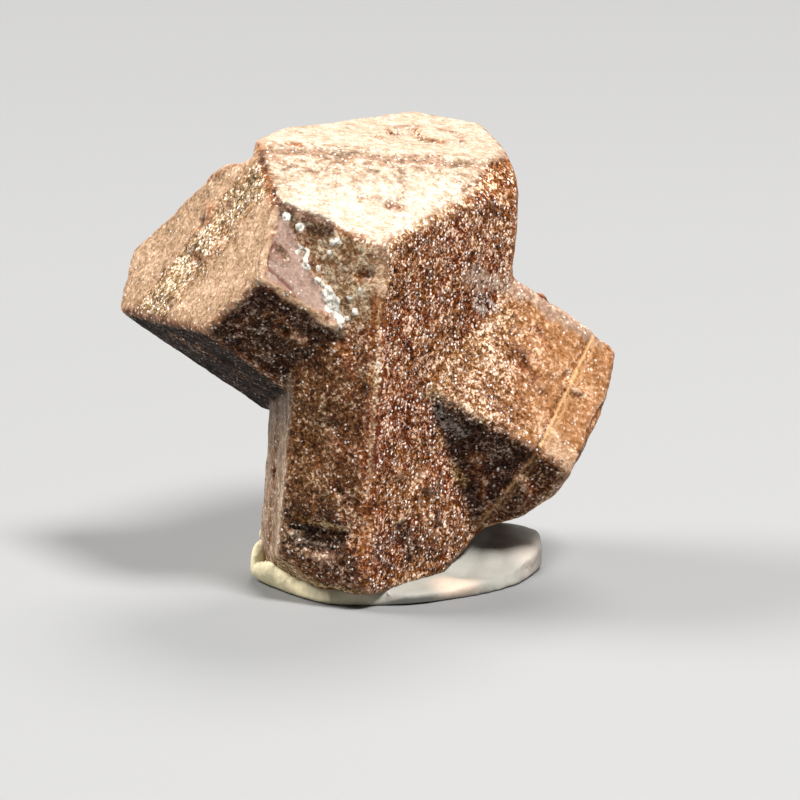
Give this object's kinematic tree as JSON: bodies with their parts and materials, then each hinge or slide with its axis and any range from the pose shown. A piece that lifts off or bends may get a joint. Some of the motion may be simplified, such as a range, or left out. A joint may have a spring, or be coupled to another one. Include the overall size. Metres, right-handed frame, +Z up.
{
  "type": "staurolite specimen",
  "caption": "Brown staurolite penetration twin whose prisms cross at sixty degrees, stood upright on a flat pad of mounting putty.",
  "frame": {"origin": "centre of the putty's flat underside, on the surface that the specimen stands on", "axes": "+Z up; -Y is the front, where the upright crystal's sharp front edge faces; +X is to the right, towards the lower arm"},
  "size_m": [0.0213, 0.0154, 0.0191],
  "materials": {
    "staurolite": "brown, finely granular, with small bright glints",
    "putty": "matte off-white mounting putty"
  },
  "bodies": {
    "root": {"staurolite_twin": "staurolite", "mounting_putty": "putty"}
  },
  "joints": []
}
